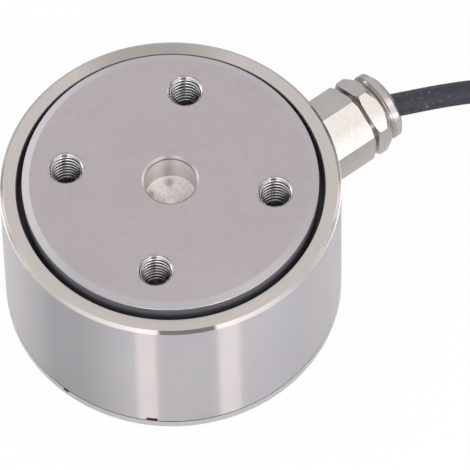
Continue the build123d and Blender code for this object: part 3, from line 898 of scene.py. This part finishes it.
class LoadCellCamera(bpy.types.PropertyGroup):
    """Where the camera stands"""

    azimuth: angle_property(
        "Azimuth", "Turn of the gland's axis away from the picture's right", radians(35.32)
    )
    elevation: angle_property(
        "Elevation", "Height of the camera above the floor, as an angle", radians(58.977)
    )
    distance: length_property("Distance", "Distance of the camera from its target", 1411.7)
    target_height: length_property(
        "Target height", "Height of the point that the angles are given for", 33.3
    )
    lens: FloatProperty(
        name="Focal length", description="Focal length on a 36 mm sensor", default=616.55
    )
    yaw: angle_property("Yaw", "Turn of the camera to the side", 0.0078)
    pitch: angle_property("Pitch", "Tilt of the camera", -0.0064)
    roll: angle_property("Roll", "Turn of the camera about its view", radians(1.911))


# Steps

def finish_nodes(slots):
    """Gives every solid of these record slots its finish."""
    for subpart in frame["record"]["subparts"]:
        finish = slots.get(subpart["material_slot"])
        if finish is None:
            continue
        node = frame["nodes"][subpart["node"]]
        if not node.material_slots:
            node.data.materials.append(finish)
        for material_slot in node.material_slots:
            material_slot.material = finish


class LOADCELL_OT_stage(bpy.types.Operator):
    """Sets up the camera, the lamps, the world and the floor"""

    bl_idname = "loadcell.stage"
    bl_label = "Stage"

    def execute(self, context):
        scene = context.scene
        scene.view_settings.view_transform = "Standard"
        self.place_camera(scene)
        self.hang_lamps(scene)
        self.light_world(scene)
        self.lay_floor()
        return {"FINISHED"}

    @staticmethod
    def place_camera(scene):
        """Puts the camera at its angles and distance from a point on the column's axis."""
        view = scene.load_cell_camera
        matrix = Matrix.Translation((0.0, 0.0, view.target_height))
        for angle, axis in ((-view.azimuth, "Z"), (pi / 2 - view.elevation, "X")):
            matrix = matrix @ Matrix.Rotation(angle, 4, axis)
        matrix = matrix @ Matrix.Translation((0.0, 0.0, view.distance))
        for angle, axis in ((-view.yaw, "Y"), (view.pitch, "X"), (-view.roll, "Z")):
            matrix = matrix @ Matrix.Rotation(angle, 4, axis)
        camera = bpy.data.objects.new("camera", bpy.data.cameras.new("camera"))
        camera.data.lens = view.lens
        camera.data.sensor_width = 36.0
        camera.data.clip_start = 0.05
        camera.data.clip_end = 20.0
        camera.matrix_world = matrix
        scene.collection.objects.link(camera)
        scene.camera = camera

    @staticmethod
    def hang_lamps(scene):
        """Hangs the lamps, which face the cell."""
        view = scene.load_cell_camera
        for name, turn, height, lean, distance, size, power, colour in LAMPS:
            lamp = bpy.data.lights.new(name, "AREA")
            lamp.shape = "RECTANGLE"
            lamp.size, lamp.size_y = size
            lamp.energy = power
            lamp.color = colour
            holder = bpy.data.objects.new(name, lamp)
            angle, height = radians(turn) - pi / 2 - view.azimuth, radians(height)
            way = (cos(angle) * cos(height), sin(angle) * cos(height), sin(height))
            place = Vector(way) * distance
            lean = Quaternion((0.0, 0.0, 1.0), radians(lean))
            holder.rotation_euler = (place.to_track_quat("Z", "Y") @ lean).to_euler()
            holder.location = place
            scene.collection.objects.link(holder)

    @staticmethod
    def light_world(scene):
        """Soft light from everywhere, with the lighter and darker parts that the steel mirrors.

        Turns are in degrees right of the camera, and heights are sines of the angle above the
        floor. Low down it is light except straight behind the cell, lightest on both sides, and
        dark on the left. Higher up it is lighter over the camera, darker on the right, and darkest
        between the two strips.
        """
        view = scene.load_cell_camera
        studio = Finish("studio", "worlds")
        way = studio.add("ShaderNodeTexCoord", output="Generated")
        front = -pi / 2 - view.azimuth
        ahead = studio.dot(way, (cos(front), sin(front), 0.0))
        across = studio.dot(way, (-sin(front), cos(front), 0.0))
        turn = studio.angle(across, ahead) * (180 / pi)
        height = studio.part(way, "Z")
        low = studio.between(height, -1.0, 0.14, 0.06)
        left = studio.spread(turn, -92.0, -68.0) * studio.spread(turn, -48.0, -20.0, 1.0, 0.0)
        sides = studio.between(ahead, -0.7, -0.1, 0.15)
        around = studio.spread(ahead, -0.85, -0.6)
        above = studio.between(height, 0.3, 0.75, 0.06)
        cards = studio.between(turn, -45.0, 52.0, 25.0) * above
        right = studio.between(turn, 68.0, 150.0, 12.0) * above
        gap = studio.between(turn, -9.3, 21.8, 1.0) * studio.between(height, 0.3, 0.78, 0.1)
        level = 1 + low * (around * 2.6 - left * 3.6 + sides * 2.6) + cards * 0.75 - right * 0.25
        level = level * (1 - gap * 0.82) * 0.92
        colour = {"Color": (0.96, 0.96, 0.98, 1.0)}
        soft = studio.add("ShaderNodeBackground", inputs={**colour, "Strength": level})
        white = studio.add("ShaderNodeBackground", inputs={"Color": (*WHITE, 1.0)})
        seen = studio.add("ShaderNodeLightPath", output="Is Camera Ray")
        mix = studio.add("ShaderNodeMixShader", inputs={0: seen, 1: soft, 2: white})
        scene.world = studio.end(mix, "ShaderNodeOutputWorld")

    @staticmethod
    def lay_floor():
        """A wide pale floor that looks white to the camera, apart from the cell's shadow."""
        finish = Finish("pale_floor")
        diffuse = finish.add("ShaderNodeBsdfDiffuse", inputs={"Color": (0.62, 0.62, 0.62, 1.0)})
        glow = finish.add("ShaderNodeEmission", inputs={"Color": (*WHITE, 1.0), "Strength": 1.03})
        seen = finish.add("ShaderNodeLightPath", output="Is Camera Ray")
        mirrored = finish.add("ShaderNodeLightPath", output="Is Glossy Ray")
        share = seen * 0.92 + mirrored * 0.1
        finish.end(finish.add("ShaderNodeMixShader", inputs={0: share, 1: diffuse, 2: glow}))
        reach = 3.0
        corners = [(x * reach, y * reach, 0.0) for x, y in ((-1, -1), (1, -1), (1, 1), (-1, 1))]
        add_mesh("floor", corners, [(0, 1, 2, 3)], finish.material, smooth=False)


class LOADCELL_OT_steel(bpy.types.Operator):
    """Gives the housing and the load column their turned steel"""

    bl_idname = "loadcell.steel"
    bl_label = "Turned steel"

    def execute(self, context):
        sizes = context.scene.load_cell_sizes
        colours = context.scene.load_cell_colours
        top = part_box("load_column")[1][2]
        finish_nodes({
            "steel_turned": faced_steel("plate_steel", colours.steel, top, 0.40),
            "steel_sleeve": sleeve_steel("housing_steel", colours.sleeve, 0.2, 0.27),
        })
        finish = bright_edge("rim_steel", EDGE_STEEL, 0.16)
        rim = weld(add_mesh("plate_rim", *rounded_rim(sizes, top), finish))
        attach(rim, "root")
        return {"FINISHED"}


class LOADCELL_OT_threads(bpy.types.Operator):
    """Cuts the threads of the tapped holes in the load plate and in the base"""

    bl_idname = "loadcell.threads"
    bl_label = "Threads"

    def execute(self, context):
        sizes = context.scene.load_cell_sizes
        out = sizes.hole_circle / 2
        finish = cut_steel(
            "cut_thread", THREAD_STEEL, out * cos(pi / 4), sizes.thread_core / 2, 0.16
        )
        low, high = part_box("load_column")
        for name, height, depth, upward in (
            ("load_plate_threads", high[2], PLATE_THREAD, True),
            ("base_threads", low[2], BASE_THREAD, False),
        ):
            points, faces, count = [], [], 0
            for hole in range(sizes.hole_count):
                angle = radians(45.0) + 2 * pi * hole / sizes.hole_count
                centre = (cos(angle) * out, sin(angle) * out, height)
                hole_points, hole_faces = tapped_hole(centre, depth, sizes, upward)
                points.append(hole_points)
                faces += [[corner + count for corner in face] for face in hole_faces]
                count += len(hole_points)
            piece = weld(add_mesh(name, np.vstack(points), faces, finish))
            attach(piece, "root")
        return {"FINISHED"}


class LOADCELL_OT_gland(bpy.types.Operator):
    """Gives the gland its nickel, and the seals their rubber"""

    bl_idname = "loadcell.gland"
    bl_label = "Gland and seals"

    def execute(self, context):
        colours = context.scene.load_cell_colours
        finish_nodes({
            "nickel": milled_metal("gland_nickel", colours.nickel, 0.24),
            "black_rubber": rubber("black_rubber", colours.rubber, 0.55, painted_light_within=SEAL_PAINTED_LIGHT),
            "brass_ring": milled_metal("brass", (0.70, 0.52, 0.24), 0.3),
        })
        return {"FINISHED"}


class LOADCELL_OT_cable(bpy.types.Operator):
    """Lays the signal cable from the gland to its coil, with its tail and leads on top"""

    bl_idname = "loadcell.cable"
    bl_label = "Cable"

    def execute(self, context):
        sizes = context.scene.load_cell_sizes
        colours = context.scene.load_cell_colours
        jacket = rubber("cable_jacket", colours.jacket, 0.5, dust=0.6)
        finish_nodes({"cable_jacket": jacket})
        route = CABLE_ROUTE + wind_coil(sizes.cable_diameter / 2 / MM)
        curve = smooth_curve("signal_cable", np.array(route) * MM, 6)
        curve.bevel_depth = sizes.cable_diameter / 2
        curve.bevel_resolution = 5
        curve.use_fill_caps = True
        curve.materials.append(jacket)
        cable = bpy.data.objects.new("signal_cable", curve)
        context.scene.collection.objects.link(cable)
        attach(cable, "root")
        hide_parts("cable_tube", "cable_coil")
        leads = [self.lay_lead(name, sizes) for name in LEADS]
        return {"FINISHED"}

    @staticmethod
    def lay_lead(name, sizes):
        """One lead: it leaves the tail's end, moves over to its lane and lies down on the coil."""
        (across, above), lane, length = LEADS[name]
        tail = (sizes.cable_diameter / 2 + 3 * TURN_PITCH * MM) / MM
        rest = 2 * TURN_PITCH + sizes.cable_diameter / MM + sizes.lead_diameter / 2 / MM + 0.05
        route = []
        for along, spread, fall in (*LEAD_STEPS, (length, *LEAD_END)):
            out = TURN_MIDDLE + across + (lane - across) * spread
            height = tail + above
            height += (rest - height) * fall
            route.append(coil_point(TAIL_TO + degrees(along / TURN_MIDDLE), out, height))
        line = smooth_line("guide_" + name, np.array(route) * MM)
        far = along_line(line)[0]
        bare = name == "shield" or far > far[-1] - BARED
        stripped = np.where(bare, 1.0, 0.0) * np.ones(len(line))
        radius = sizes.lead_diameter / 2 * (1 - 0.3 * stripped)
        lay = 1 / (STRAND_LAY * STRANDS)
        points, faces = tube(line, radius, 0.14 * stripped, STRANDS, lay, LEAD_SIDES)
        wire = twisted_wire("tinned_strands_" + name, TINNED, 0.25)
        cover = moulded("insulation_" + name, LEAD_COLOURS[name]) if name != "shield" else wire
        piece = add_mesh("lead_wire_" + name, points, faces, cover)
        piece.data.materials.append(wire)
        ring_of = np.array([min(face) for face in faces]) // LEAD_SIDES
        tips = stripped[np.minimum(ring_of, len(line) - 1)] > 0.5
        piece.data.polygons.foreach_set("material_index", tips.astype(np.int32))
        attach(piece, "root")
        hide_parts("lead_" + name)
        return piece


class LOADCELL_OT_inside(bpy.types.Operator):
    """Gives the pieces inside the housing their finishes"""

    bl_idname = "loadcell.inside"
    bl_label = "Inner pieces"

    def execute(self, context):
        colours = context.scene.load_cell_colours
        finishes = {
            "gauge_film": gauge_foil("gauge_film", (0.42, 0.20, 0.04), (0.55, 0.45, 0.32)),
            "board_green": board_green("terminal_board", colours.board, (0.45, 0.22, 0.08)),
            "ceramic": moulded("ceramic", (0.06, 0.06, 0.065)),
            "bright_metal": twisted_wire("bright_metal", (0.75, 0.74, 0.70), 0.2),
            "lead_shield": twisted_wire("core_shield", LEAD_COLOURS["shield"], 0.3),
        }
        for name in ("white", "green", "black", "red"):
            finishes["lead_" + name] = moulded("core_" + name, LEAD_COLOURS[name])
        finish_nodes(finishes)
        return {"FINISHED"}


class LOADCELL_PT_panel(bpy.types.Panel):
    """Lists the steps and the sizes of the load cell"""

    bl_idname = "LOADCELL_PT_panel"
    bl_label = "Load Cell"
    bl_space_type = "VIEW_3D"
    bl_region_type = "UI"
    bl_category = "Load Cell"

    def draw(self, context):
        for step in STEPS:
            self.layout.operator(step.bl_idname)
        for group in (context.scene.load_cell_sizes, context.scene.load_cell_colours):
            column = self.layout.column()
            for name in type(group).__annotations__:
                column.prop(group, name)


STEPS = (
    LOADCELL_OT_stage,
    LOADCELL_OT_cable,
    LOADCELL_OT_steel,
    LOADCELL_OT_threads,
    LOADCELL_OT_gland,
    LOADCELL_OT_inside,
)
GROUPS = {
    "load_cell_sizes": LoadCellSizes,
    "load_cell_colours": LoadCellColours,
    "load_cell_camera": LoadCellCamera,
}


def register():
    for entry in (*GROUPS.values(), *STEPS, LOADCELL_PT_panel):
        bpy.utils.register_class(entry)
    for name, group in GROUPS.items():
        setattr(bpy.types.Scene, name, PointerProperty(type=group))


def unregister():
    for name in GROUPS:
        delattr(bpy.types.Scene, name)
    for entry in reversed((*GROUPS.values(), *STEPS, LOADCELL_PT_panel)):
        bpy.utils.unregister_class(entry)


def main():
    """Registers the steps and runs them in order."""
    register()
    for step in STEPS:
        group, name = step.bl_idname.split(".")
        getattr(getattr(bpy.ops, group), name)()


if __name__ == "__main__":
    main()
